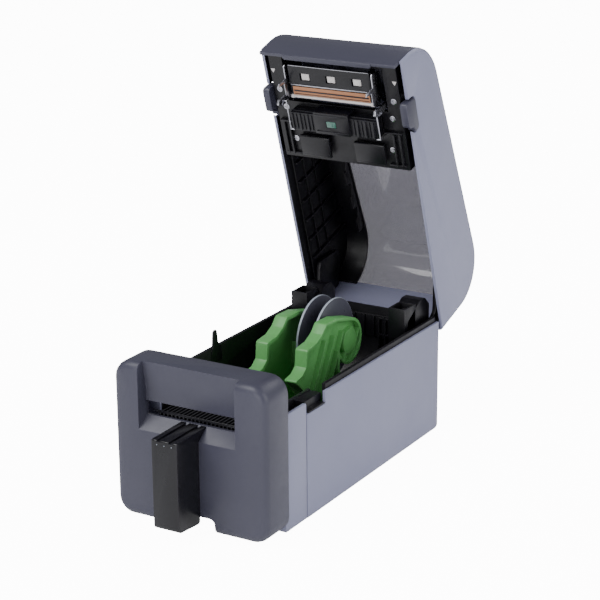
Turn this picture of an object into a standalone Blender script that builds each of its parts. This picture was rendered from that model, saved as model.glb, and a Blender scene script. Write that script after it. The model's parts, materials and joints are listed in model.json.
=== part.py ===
"""A desktop label printer with its lid open and a label peeler on its front.

The axes are X to the right, Y to the back and Z up, and the machine stands on Z = 0 with its
open outline centred over the origin. Every piece is modelled where it lies with the lid shut.
The lid's pieces hang under an empty on the hinge line, and that empty alone is turned open.
"""

import math

import bmesh
import bpy
from mathutils import Matrix, Vector

mm = 0.001

# ---- driving sizes ---------------------------------------------------------------------------
body_width = 110 * mm
body_depth = 217 * mm
body_middle_y = -2.5 * mm
side_height = 80.6 * mm
body_floor = 0.8 * mm
wall = 2.2 * mm
gap = 0.3 * mm
rear_corner = 6 * mm
rear_heel = 9 * mm
cheek_depth = 26.5 * mm
notch_length = 24.1 * mm
notch_height = 72.3 * mm

lid_open_angle = 72.2
hinge_setback = 5.0 * mm
hinge_drop = 6.0 * mm
lid_rim_lift = 0.4 * mm
lid_front_height = 122.8 * mm
lid_rear_height = 149.1 * mm
lid_front_radius = 33 * mm
lid_rear_radius = 32 * mm
lid_edge_radius = 3 * mm
lip_height = 74.7 * mm
front_panel_length = 53 * mm
window_half_width = 35 * mm
window_rear_height = 118 * mm

tub_wall = 2.2 * mm
tub_rim = 83.9 * mm
tub_floor = 15.5 * mm
roll_setback = 71.1 * mm
roll_height = 80.5 * mm
disc_radius = 28.5 * mm
disc_thickness = 1.5 * mm
disc_offset = 5.5 * mm
guide_travel = 22 * mm
rack_tooth_height = 1.0 * mm

platen_radius = 7.5 * mm
platen_half_length = 32 * mm
platen_height = 66.3 * mm
platen_shaft_radius = 3 * mm
side_plate_x = 40 * mm
side_plate = 2.5 * mm

peeler_width = 114.6 * mm
peeler_depth = 26.9 * mm
peeler_height = 107.4 * mm
peeler_floor = 1.8 * mm
peeler_corner = 12 * mm
peeler_heel = 11 * mm
peeler_edge = 5 * mm
recess_middle_x = -1.8 * mm
recess_half_width = 36.4 * mm
recess_depth = 9.4 * mm
slot_low = 70.4 * mm
slot_high = 80.0 * mm
ramp_low = 63 * mm
block_width = 18.8 * mm
block_reach = 24.6 * mm
block_low = 7.6 * mm

button_radius = 5 * mm

# ---- places that follow ----------------------------------------------------------------------
half_width = body_width / 2
front_y = body_middle_y - body_depth / 2
rear_y = body_middle_y + body_depth / 2
seam_y = front_y + cheek_depth
inner_x = half_width - wall
outside_x = half_width + 9 * mm
hinge_y = rear_y - hinge_setback
hinge_z = side_height - hinge_drop
rim_z = side_height + lid_rim_lift
lid_front_y = front_y + 0.5 * mm
tub_x = inner_x - 0.5 * mm
tub_inside_x = tub_x - tub_wall - gap
roll_y = rear_y - roll_setback
platen_y = seam_y - 1.0 * mm
peeler_rear_y = front_y - gap
peeler_front_y = front_y - peeler_depth
recess_y = peeler_front_y + recess_depth
gear_x = -side_plate_x - side_plate - 1.9 * mm
gear_width = 3.5 * mm

# ---- scene and collections -------------------------------------------------------------------
for leftover in list(bpy.data.objects):
    bpy.data.objects.remove(leftover, do_unlink=True)
printer = bpy.data.collections.new("label_printer")
cutters = bpy.data.collections.new("cutters")
for collection in (printer, cutters):
    bpy.context.scene.collection.children.link(collection)

joint_places = {}


def joint_empty(name, at, parent=None):
    """An empty on a joint's axis. Pieces under it keep the coordinates of the shut machine."""
    empty = bpy.data.objects.new(name, None)
    empty.empty_display_size = 10 * mm
    printer.objects.link(empty)
    joint_places[empty.name] = Vector(at)
    start = joint_places[parent.name] if parent else Vector()
    empty.parent = parent
    empty.location = Vector(at) - start
    return empty


# ---- materials -------------------------------------------------------------------------------
def linear(value):
    return value / 12.92 if value <= 0.04045 else ((value + 0.055) / 1.055) ** 2.4


def paint(name, red, green, blue, roughness, metallic=0.0, alpha=1.0):
    """A plain surface from a screen colour of 0 to 255."""
    material = bpy.data.materials.new(name)
    material.use_nodes = True
    shader = material.node_tree.nodes["Principled BSDF"]
    color = [linear(channel / 255) for channel in (red, green, blue)] + [1.0]
    shader.inputs["Base Color"].default_value = color
    shader.inputs["Roughness"].default_value = roughness
    shader.inputs["Metallic"].default_value = metallic
    shader.inputs["Alpha"].default_value = alpha
    return material


shell_grey = paint("shell_grey", 166, 168, 184, 0.5)
panel_grey = paint("panel_grey", 97, 97, 112, 0.45)
mechanism_black = paint("mechanism_black", 30, 29, 36, 0.5)
block_black = paint("block_black", 42, 40, 50, 0.45)
guide_green = paint("guide_green", 96, 178, 92, 0.4)
disc_grey = paint("disc_grey", 52, 51, 60, 0.4)
window_smoke = paint("window_smoke", 120, 118, 130, 0.1, alpha=0.6)
roller_rubber = paint("roller_rubber", 40, 40, 44, 0.8)
foot_rubber = paint("foot_rubber", 28, 28, 30, 0.85)
bright_steel = paint("bright_steel", 190, 190, 195, 0.25, 1.0)
head_ceramic = paint("head_ceramic", 196, 160, 130, 0.3)
gear_white = paint("gear_white", 222, 222, 216, 0.5)
button_grey = paint("button_grey", 70, 70, 80, 0.4)
board_green = paint("board_green", 26, 74, 48, 0.5)
lens_clear = paint("lens_clear", 140, 190, 150, 0.2)


# ---- modelling helpers -----------------------------------------------------------------------
def object_from(name, shape):
    """A bmesh made an object; its place is decided when it becomes a piece or a cutter."""
    mesh = bpy.data.meshes.new(name)
    shape.to_mesh(mesh)
    shape.free()
    return bpy.data.objects.new(name, mesh)


def box(name, low, high):
    shape = bmesh.new()
    low, high = Vector(low), Vector(high)
    size = Matrix.Diagonal((high - low).to_4d())
    bmesh.ops.create_cube(shape, size=1, matrix=Matrix.Translation((low + high) / 2) @ size)
    return object_from(name, shape)


def along(axis):
    """The turn that carries +Z onto an axis letter."""
    turns = {"X": Matrix.Rotation(math.pi / 2, 4, "Y"), "Y": Matrix.Rotation(-math.pi / 2, 4, "X")}
    return turns.get(axis, Matrix.Identity(4))


def rod(name, axis, low, radius, length, sides=24, end_radius=None):
    """A cylinder, or a cone, that starts at low and runs along the axis letter."""
    shape = bmesh.new()
    place = Matrix.Translation(low) @ along(axis) @ Matrix.Translation((0, 0, length / 2))
    end = radius if end_radius is None else end_radius
    bmesh.ops.create_cone(
        shape, cap_ends=True, segments=sides, radius1=radius, radius2=end, depth=length, matrix=place
    )
    return object_from(name, shape)


def rounded(corners, step_degrees=15):
    """Points of an outline from (u, v) or (u, v, radius) corners, each radius made an arc."""
    points = []
    count = len(corners)
    for index, corner in enumerate(corners):
        here = Vector(corner[:2])
        radius = corner[2] if len(corner) > 2 else 0
        if radius <= 0:
            points.append(here)
            continue
        back = (Vector(corners[index - 1][:2]) - here).normalized()
        ahead = (Vector(corners[(index + 1) % count][:2]) - here).normalized()
        half = back.angle(ahead) / 2
        centre = here + (back + ahead).normalized() * radius / math.sin(half)
        start = here + back * radius / math.tan(half) - centre
        turn = start.angle_signed(here + ahead * radius / math.tan(half) - centre)
        steps = max(2, round(abs(math.degrees(turn)) / step_degrees))
        for step in range(steps + 1):
            spin = Matrix.Rotation(-turn * step / steps, 2)
            points.append(centre + spin @ start)
    return points


def grown(corners, distance):
    """The same outline, counter-clockwise, moved outwards by a distance."""
    result = []
    count = len(corners)
    for index, corner in enumerate(corners):
        here = Vector(corner[:2])
        before = (here - Vector(corners[index - 1][:2])).normalized()
        after = (Vector(corners[(index + 1) % count][:2]) - here).normalized()
        normals = Vector((before.y, -before.x)), Vector((after.y, -after.x))
        shift = (normals[0] + normals[1]) / (1 + normals[0].dot(normals[1])) * distance
        outward = before.cross(after) > 0
        radius = corner[2] if len(corner) > 2 else 0
        if radius > 0:
            radius = max(0.0, radius + (distance if outward else -distance))
        result.append((here.x + shift.x, here.y + shift.y, radius))
    return result


def prism(name, points, axis, low, high):
    """A flat outline made a solid. The outline is in YZ, XZ or XY for axis X, Y or Z."""
    curve = bpy.data.curves.new(name, "CURVE")
    curve.dimensions = "2D"
    curve.fill_mode = "BOTH"
    curve.extrude = (high - low) / 2
    spline = curve.splines.new("POLY")
    spline.points.add(len(points) - 1)
    for target, point in zip(spline.points, points):
        target.co = (point[0], point[1], 0, 1)
    spline.use_cyclic_u = True
    flat = bpy.data.objects.new(name + "_outline", curve)
    bpy.context.scene.collection.objects.link(flat)
    graph = bpy.context.evaluated_depsgraph_get()
    mesh = bpy.data.meshes.new_from_object(flat.evaluated_get(graph))
    bpy.data.objects.remove(flat, do_unlink=True)
    middle = (low + high) / 2
    rows = {
        "X": ((0, 0, 1, middle), (1, 0, 0, 0), (0, 1, 0, 0), (0, 0, 0, 1)),
        "Y": ((1, 0, 0, 0), (0, 0, -1, middle), (0, 1, 0, 0), (0, 0, 0, 1)),
        "Z": ((1, 0, 0, 0), (0, 1, 0, 0), (0, 0, 1, middle), (0, 0, 0, 1)),
    }
    shape = bmesh.new()
    shape.from_mesh(mesh)
    shape.transform(Matrix(rows[axis]))
    bmesh.ops.remove_doubles(shape, verts=shape.verts, dist=1e-6)
    bmesh.ops.dissolve_limit(
        shape, angle_limit=math.radians(0.5), verts=shape.verts, edges=shape.edges
    )
    bmesh.ops.recalc_face_normals(shape, faces=shape.faces)
    return object_from(name, shape)


def round_edges(obj, chosen, radius, segments=3):
    """Rounds the edges that the test picks from their two end points."""
    shape = bmesh.new()
    shape.from_mesh(obj.data)
    edges = [edge for edge in shape.edges if chosen(edge.verts[0].co, edge.verts[1].co)]
    bmesh.ops.bevel(
        shape, geom=edges, offset=radius, offset_type="OFFSET", segments=segments,
        profile=0.5, affect="EDGES", clamp_overlap=True,
    )
    bmesh.ops.recalc_face_normals(shape, faces=shape.faces)
    shape.to_mesh(obj.data)
    shape.free()
    return obj


def settle(obj, parent, collection):
    collection.objects.link(obj)
    if parent:
        obj.parent = parent
        obj.location = -joint_places[parent.name]


def piece(obj, material, parent=None, cut=(), add=(), keep=()):
    """Makes an object one named piece: joined with add, kept inside keep, then cut by cut."""
    settle(obj, parent, printer)
    steps = [(other, "UNION") for other in add]
    steps += [(other, "INTERSECT") for other in keep]
    steps += [(other, "DIFFERENCE") for other in cut]
    for number, (other, operation) in enumerate(steps):
        other.name = f"{obj.name}_{operation.lower()}_{number}"
        settle(other, parent, cutters)
        other.hide_render = True
        other.display_type = "WIRE"
        modifier = obj.modifiers.new(f"{operation.lower()}_{number}", "BOOLEAN")
        modifier.operation = operation
        modifier.solver = "EXACT"
        modifier.object = other
    obj.data.materials.append(material)
    obj.data.shade_smooth()
    obj.data.set_sharp_from_angle(angle=math.radians(30))
    return obj


def gear_points(teeth, module, depth=0.85, centre=(0, 0), phase=0.0):
    """Outline of a straight gear, with slim teeth so that a pair runs free."""
    pitch = teeth * module / 2
    outline = []
    for tooth in range(teeth):
        for share, radius in ((-0.30, -1.1), (-0.13, depth), (0.13, depth), (0.30, -1.1)):
            angle = math.tau * (tooth + share) / teeth + phase
            reach = pitch + radius * module
            outline.append((centre[0] + reach * math.cos(angle), centre[1] + reach * math.sin(angle)))
    return outline


# ---- casing ----------------------------------------------------------------------------------
def side_cover():
    """The light shell round both sides and the back, with the finger notches at its front."""
    start = seam_y + gap
    relief = hinge_setback
    profile = [
        (start, body_floor), (rear_y, body_floor, rear_heel),
        (rear_y, side_height, relief), (start, side_height),
    ]
    plan = [
        (-half_width, start), (half_width, start), (half_width, rear_y, rear_corner),
        (-half_width, rear_y, rear_corner),
    ]
    deeper = [
        (start - 5 * mm, body_floor), (rear_y, body_floor, rear_heel),
        (rear_y, side_height + 9 * mm), (start - 5 * mm, side_height + 9 * mm),
    ]
    wider = [(-half_width, start - 5 * mm), (half_width, start - 5 * mm), *plan[2:]]
    hollow = prism("hollow", rounded(grown(deeper, -wall)), "X", -half_width, half_width)
    corner = prism("corner", rounded(grown(wider, -wall)), "Z", -10 * mm, side_height * 2)
    trim = hollow.modifiers.new("corner", "BOOLEAN")
    trim.operation = "INTERSECT"
    trim.object = corner
    settle(corner, None, cutters)
    corner.hide_render = True
    corner.display_type = "WIRE"
    floor_hole = box(
        "hole", (-inner_x + 6 * mm, start - mm, -mm), (inner_x - 6 * mm, rear_y - 14 * mm, 5 * mm)
    )
    rear_gap = box(
        "hole", (-inner_x, hinge_y - 9 * mm, hinge_z - 4.6 * mm),
        (inner_x, rear_y + mm, side_height + mm),
    )
    notch = box(
        "hole", (-half_width - mm, start - mm, notch_height),
        (half_width + mm, seam_y + notch_length, side_height + mm),
    )
    jack = rod("hole", "Y", (jack_x, rear_y - 10 * mm, jack_z), jack_radius + gap, 20 * mm, 20)
    port = box(
        "hole", (port_x - port_half - gap, rear_y - 10 * mm, port_low - gap),
        (port_x + port_half + gap, rear_y + 10 * mm, port_low + port_height + gap),
    )
    return piece(
        prism("side_cover", rounded(profile), "X", -half_width, half_width), shell_grey,
        keep=[prism("plan", rounded(plan), "Z", -10 * mm, side_height * 2)],
        cut=[hollow, floor_hole, rear_gap, notch, jack, port],
    )


def front_cover():
    """The two light cheeks and the wall between them that the peeler hangs on."""
    end = seam_y - gap
    cheeks = box(
        "cheek_hollow", (-inner_x, front_y + wall, -mm), (inner_x, end + mm, side_height + mm)
    )
    outlet = box(
        "outlet", (-side_plate_x, front_y - mm, 36 * mm),
        (side_plate_x, front_y + wall + mm, side_height + mm),
    )
    lip = box(
        "lip", (-inner_x, front_y - mm, lip_height - 2 * gap), (inner_x, front_y + 9 * mm, side_height + mm)
    )
    body = box("front_cover", (-half_width, front_y, body_floor), (half_width, end, side_height))
    upright = lambda a, b: a.y > end - mm and b.y > end - mm and a.z > side_height - mm < b.z
    round_edges(body, upright, 1.5 * mm)
    return piece(body, shell_grey, cut=[cheeks, outlet, lip])


def base_plate():
    low = body_floor + wall + gap
    high = low + 2.2 * mm
    plate = box(
        "base_plate", (-inner_x + gap, front_y + wall + gap, low),
        (inner_x - gap, rear_y - 13 * mm, high),
    )
    return piece(plate, mechanism_black)


def feet():
    for number, (x, y) in enumerate(foot_places, 1):
        top = body_floor + wall
        piece(rod(f"foot_{number}", "Z", (x, y, 0), 6 * mm, top, 24), foot_rubber)


def roll_tub():
    """The black tub that holds the label roll, round under the roll and open at its front."""
    front = seam_y + 28.4 * mm
    rear = rear_y - wall - gap
    profile = [
        (front, tub_rim), (front, 56 * mm, 6 * mm), (roll_y - 46 * mm, tub_floor - tub_wall, 46 * mm),
        (rear, tub_floor - tub_wall, 44 * mm), (rear, tub_rim),
    ]
    inside = grown([(front, tub_rim + 9 * mm), *profile[1:4], (rear, tub_rim + 9 * mm)], -tub_wall)
    hollow = prism("hollow", rounded(inside), "X", -tub_inside_x, tub_inside_x)
    mouth = box(
        "mouth", (-tub_inside_x, front - mm, 62 * mm),
        (tub_inside_x, front + tub_wall + mm, tub_rim + mm),
    )
    cuts = [hollow, mouth]
    for side in (-1, 1):
        reach = sorted((side * (tower_x - gap), side * (tub_inside_x - 0.1 * mm)))
        cuts.append(box(
            "corner", (reach[0], tower_low_y - gap, tower_low - gap),
            (reach[1], rear + mm, tub_rim + mm),
        ))
        slot = sorted((side * (foot_x - 2 * mm), side * (foot_x + guide_travel + 5 * mm)))
        cuts.append(box(
            "slot", (slot[0], rack_y(side) - 2.4 * mm, tub_floor - 5 * mm),
            (slot[1], rack_y(side) + 2.4 * mm, tub_floor + 2 * mm),
        ))
    plan = prism("plan", rounded([
        (-tub_x, front - mm), (tub_x, front - mm), (tub_x, rear, rear_corner - wall),
        (-tub_x, rear, rear_corner - wall),
    ]), "Z", 0, 2 * side_height)
    return piece(
        prism("roll_tub", rounded(profile), "X", -tub_x, tub_x), mechanism_black,
        keep=[plan], cut=cuts,
    )


def rear_grille():
    """The ribbed strip low on the tub's rear wall, behind the roll."""
    back = rear_y - wall - gap - tub_wall - gap
    plate = box("rear_grille", (-24 * mm, back - 1.6 * mm, 62 * mm), (24 * mm, back, 78 * mm))
    ribs = [
        box("rib", (x * mm - 0.7 * mm, back - 3.6 * mm, 62 * mm), (x * mm + 0.7 * mm, back - mm, 78 * mm))
        for x in range(-20, 21, 8)
    ]
    return piece(plate, mechanism_black, add=ribs)


def hinge_towers():
    """Blocks in the tub's rear corners that carry the hinge pins."""
    top = 98.5 * mm
    back = rear_y - wall - gap
    outline = [
        (tower_low_y, tower_low), (hinge_y, tower_low), (back, hinge_z - 4 * mm, 1 * mm),
        (back, top - 6 * mm), (hinge_y - 4 * mm, top, 2 * mm), (hinge_y - 11 * mm, top, 3 * mm),
        (tower_low_y, 88 * mm, 2 * mm),
    ]
    for side, label in ((-1, "left"), (1, "right")):
        low, high = sorted((side * tower_x, side * (arm_x - 0.4 * mm)))
        bore = rod("bore", "X", (low - mm, hinge_y, hinge_z), pin_radius + gap, high - low + 2 * mm)
        tower = prism(f"hinge_tower_{label}", rounded(outline), "X", low, high)
        piece(tower, mechanism_black, cut=[bore])
        reach = tub_inside_x - 0.4 * mm - tower_x
        low = min(side * tower_x, side * (tower_x + reach))
        piece(rod(f"hinge_pin_{label}", "X", (low, hinge_y, hinge_z), pin_radius, reach), bright_steel)


def power_inlet():
    """The round mains-adapter socket and the data port in the back wall, on their board."""
    board = box(
        "main_board", (-38 * mm, rear_y - 58 * mm, 7.0 * mm), (44 * mm, rear_y - 16 * mm, 8.6 * mm)
    )
    piece(board, board_green)
    jack = rod("dc_jack", "Y", (jack_x, rear_y - 15 * mm, jack_z), jack_radius, 14.5 * mm, 20)
    piece(jack, mechanism_black, cut=[
        rod("hole", "Y", (jack_x, rear_y - 10 * mm, jack_z), 2.8 * mm, 12 * mm, 16)
    ])
    low = Vector((port_x - port_half, rear_y - 16 * mm, port_low))
    port = box("data_port", low, (port_x + port_half, rear_y - 0.5 * mm, port_low + port_height))
    mouth = box(
        "hole", low + Vector((mm, 5 * mm, mm)),
        (port_x + port_half - mm, rear_y + mm, port_low + port_height - mm),
    )
    piece(port, bright_steel, cut=[mouth])


# ---- front mechanism -------------------------------------------------------------------------
def mechanism_frame():
    """The black frame across the front: outer walls, bearing plates, floor and paper ramp."""
    low, high = front_y + 3 * mm, seam_y + 26 * mm
    floor = 6.2 * mm
    top = side_height - 1.2 * mm
    frame = box("mechanism_frame", (-tub_x, low, floor), (tub_x, high, floor + 2 * mm))
    joined = []
    for side in (-1, 1):
        walls = ((side_plate_x, side_plate, top), (tub_x - 2.3 * mm, 2.3 * mm, 71.6 * mm))
        for inner, thick, upper in walls:
            x0, x1 = sorted((side * inner, side * (inner + thick)))
            joined.append(box("wall", (x0, low, floor + mm), (x1, high, upper)))
        x0, x1 = sorted((side * (side_plate_x + side_plate - 0.1 * mm), side * (tub_x - 1.9 * mm)))
        block_y = seam_y + (5 * mm if side > 0 else 11 * mm)
        joined.append(box("block", (x0, block_y, 60 * mm), (x1, high - 0.1 * mm, 78.6 * mm)))
        x0, x1 = sorted((side * (tub_x - 2 * mm), side * (half_width - 0.3 * mm)))
        joined.append(box(
            "ledge", (x0, seam_y + 3 * mm, notch_height + gap),
            (x1, seam_y + notch_length - 0.6 * mm, notch_height + 1.1 * mm),
        ))
    joined.append(box("back", (-tub_x + mm, high - 2 * mm, floor + mm), (tub_x - mm, high, 60 * mm)))
    joined.append(box("ramp", (-34 * mm, high - 18 * mm, 59 * mm), (34 * mm, high - mm, 61 * mm)))
    joined.append(box("web", (-mm, high - 18 * mm, floor + mm), (mm, high - mm, 60 * mm)))
    through = 2 * side_plate_x + 20 * mm
    start = -side_plate_x - 8 * mm
    bores = [
        rod("bore", "X", (start, platen_y, platen_height), bearing_radius + gap, through, 24),
        rod("bore", "X", (start, arm_pivot_y, arm_pivot_z), 1.5 * mm + gap, through, 16),
        rod("bore", "X", (start, idler_y, idler_z), 2 * mm + gap, 12 * mm, 16),
        rod("bore", "X", (start, pinion_y, pinion_z), 5 * mm, 12 * mm, 20),
    ]
    return piece(frame, mechanism_black, add=joined, cut=bores)


def peel_bar():
    low_y = platen_y - 12.5 * mm
    bar = box(
        "peel_bar", (-side_plate_x + gap, low_y, 69.6 * mm), (side_plate_x - gap, low_y + 4 * mm, 72.4 * mm)
    )
    round_edges(bar, lambda a, b: a.y < low_y + mm > b.y, 1.2 * mm)
    return piece(bar, bright_steel)


def drive_train():
    """Platen roller, its bushings, and the gears that a small motor turns it with."""
    platen = joint_empty("platen_axis", (0, platen_y, platen_height))
    low = gear_x - gear_width - 0.4 * mm
    shaft = rod(
        "platen_shaft", "X", (low, platen_y, platen_height), platen_shaft_radius,
        side_plate_x + side_plate + mm - low, 20,
    )
    piece(shaft, bright_steel, platen)
    sleeve = rod(
        "platen_rubber", "X", (-platen_half_length, platen_y, platen_height), platen_radius,
        2 * platen_half_length, 36,
    )
    bore_radius = platen_shaft_radius + gap
    piece(sleeve, roller_rubber, platen, cut=[
        rod("bore", "X", (-50 * mm, platen_y, platen_height), bore_radius, 100 * mm, 20)
    ])
    for side, label in ((-1, "left"), (1, "right")):
        x = side * (side_plate_x + side_plate / 2) - 1.9 * mm
        bush = rod(
            f"platen_bushing_{label}", "X", (x, platen_y, platen_height), bearing_radius, 3.8 * mm, 24
        )
        piece(bush, gear_white, cut=[
            rod("bore", "X", (x - mm, platen_y, platen_height), bore_radius, 6 * mm, 20)
        ])
    gear("platen_gear", 20, (platen_y, platen_height), platen, bore_radius, 0.0)
    idler = joint_empty("idler_axis", (gear_x, idler_y, idler_z))
    gear("idler_gear", 28, (idler_y, idler_z), idler, 2 * mm + gap, idler_phase)
    post = rod("idler_post", "X", (gear_x - gear_width - 0.6 * mm, idler_y, idler_z), 2 * mm, 8.6 * mm, 16)
    piece(post, bright_steel)
    motor_axis = joint_empty("motor_axis", (gear_x, pinion_y, pinion_z))
    stub = rod("stub", "X", (gear_x - mm, pinion_y, pinion_z), 1.5 * mm, 7 * mm, 12)
    pinion = prism(
        "motor_pinion", gear_points(12, mm, 0.85, (pinion_y, pinion_z), pinion_phase), "X",
        gear_x - gear_width, gear_x,
    )
    piece(pinion, gear_white, motor_axis, add=[stub])
    motor = rod("drive_motor", "X", (-side_plate_x + gap + mm, pinion_y, pinion_z), 13 * mm, 26 * mm, 32)
    piece(motor, bright_steel, cut=[
        rod("hole", "X", (-side_plate_x - mm, pinion_y, pinion_z), 2 * mm, 8 * mm, 12)
    ])


def gear(name, teeth, centre, parent, bore_radius, phase):
    blank = prism(name, gear_points(teeth, mm, 0.85, centre, phase), "X", gear_x - gear_width, gear_x)
    hole = rod("bore", "X", (gear_x - gear_width - mm, *centre), bore_radius, gear_width + 2 * mm, 20)
    return piece(blank, gear_white, parent, cut=[hole])


# ---- peeler ----------------------------------------------------------------------------------
def peeler_cover():
    """The dark front unit: a deep shell with a recess, an outlet slot and a ramp under it."""
    half = peeler_width / 2
    face = [
        (-half, peeler_floor, peeler_heel), (half, peeler_floor, peeler_heel),
        (half, peeler_height, peeler_corner), (-half, peeler_height, peeler_corner),
    ]
    body = prism("peeler_cover", rounded(face), "Y", peeler_front_y, peeler_rear_y)
    at_front = lambda a, b: max(a.y, b.y) < peeler_front_y + 0.1 * mm
    round_edges(body, at_front, peeler_edge, 3)
    hollow = prism("hollow", rounded(grown(face, -2.4 * mm)), "Y", recess_y + 2.4 * mm, 0)
    lower = prism(
        "hollow", rounded(grown(face[:2] + [(half, 60 * mm, 4 * mm), (-half, 60 * mm, 4 * mm)], -2.9 * mm)),
        "Y", peeler_front_y + 6 * mm, 0,
    )
    x0, x1 = recess_middle_x - recess_half_width, recess_middle_x + recess_half_width
    high = peeler_height + 5 * mm
    recess = prism("recess", [
        (peeler_front_y - mm, ramp_low - 0.8 * mm), (peeler_front_y, ramp_low),
        (recess_y, slot_low), (recess_y, slot_high + 8 * mm), (recess_y - 4 * mm, high),
        (peeler_front_y - mm, high),
    ], "X", x0, x1)
    slot = box(
        "slot", (x0, recess_y - mm, slot_low + 0.02 * mm), (x1, recess_y + 6 * mm, slot_high)
    )
    arch = prism("arch", rounded([
        (block_middle_x - 20 * mm, 0), (block_middle_x + 20 * mm, 0),
        (block_middle_x + 20 * mm, 12 * mm, 4 * mm), (block_middle_x - 20 * mm, 12 * mm, 4 * mm),
    ]), "Y", peeler_front_y - mm, peeler_rear_y + mm)
    return piece(body, panel_grey, cut=[hollow, lower, recess, slot, arch])


def sensor_block():
    """The black upright in front of the outlet that a peeled label comes to rest on."""
    front = front_y - peeler_depth - block_reach
    ledge = recess_y - gap
    top = slot_low - gap
    slope = (top - ramp_low) / (recess_y - peeler_front_y)
    face = peeler_front_y - gap
    outline = [
        (front, block_low + 2 * mm, 3 * mm), (face, block_low, 2 * mm),
        (face, ramp_low + slope * gap), (ledge, top + gap), (front, top, mm),
    ]
    x0 = block_middle_x - block_width / 2
    block = prism("sensor_block", rounded(outline, 30), "X", x0, x0 + block_width)
    grooves = [
        box("groove", (block_middle_x + shift - 1.3 * mm, front - mm, top - mm),
            (block_middle_x + shift + 1.3 * mm, ledge + mm, top + 3 * mm))
        for shift in (-4.5 * mm, 4.5 * mm)
    ]
    return piece(block, block_black, cut=grooves)


def outlet_guide():
    """The ribbed shelf inside the outlet slot."""
    rear = platen_y - 14 * mm
    front = recess_y + 2.4 * mm + gap
    shelf = box("outlet_guide", (-33 * mm, front, 66.4 * mm), (33 * mm, rear, 68.6 * mm))
    ribs = [
        box("rib", (x * mm - 0.5 * mm, front + gap, 67.5 * mm), (x * mm + 0.5 * mm, rear - gap, 72 * mm))
        for x in range(-30, 31, 3)
    ]
    return piece(shelf, mechanism_black, add=ribs)


def peeler_arm():
    """The sprung arm whose roller presses the backing paper against the platen."""
    axis = joint_empty("peeler_arm_axis", (0, arm_pivot_y, arm_pivot_z))
    across = Vector((pinch_y - arm_pivot_y, pinch_z - arm_pivot_z)).normalized() * 4 * mm
    side_on = Vector((-across.y, across.x))
    start, end = Vector((arm_pivot_y, arm_pivot_z)), Vector((pinch_y, pinch_z))
    outline = [start - across - side_on, start - across + side_on, end + across * 0.7 + side_on,
               end + across * 0.7 - side_on]
    plates = []
    for side in (-1, 1):
        low, high = sorted((side * 34.6 * mm, side * 36.2 * mm))
        plates.append(prism("plate", [tuple(point) for point in reversed(outline)], "X", low, high))
    shaft = rod(
        "peeler_arm", "X", (-side_plate_x - side_plate, arm_pivot_y, arm_pivot_z), 1.5 * mm,
        2 * (side_plate_x + side_plate), 16,
    )
    bores = [rod("bore", "X", (-40 * mm, pinch_y, pinch_z), 1.5 * mm + gap, 80 * mm, 16)]
    piece(shaft, bright_steel, axis, add=plates, cut=bores)
    spin = joint_empty("pinch_roller_axis", (0, pinch_y, pinch_z), axis)
    roller = rod("pinch_roller", "X", (-31 * mm, pinch_y, pinch_z), pinch_radius, 62 * mm, 24)
    journal = rod("journal", "X", (-36 * mm, pinch_y, pinch_z), 1.5 * mm, 72 * mm, 16)
    piece(roller, roller_rubber, spin, add=[journal])


# ---- label roll guides -----------------------------------------------------------------------
def rack_y(side):
    """The left guide's rack runs behind its pinion and the right guide's in front of it."""
    return guide_pinion_y - side * (guide_pinion_radius + rack_tooth_height + 1.7 * mm)


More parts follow.
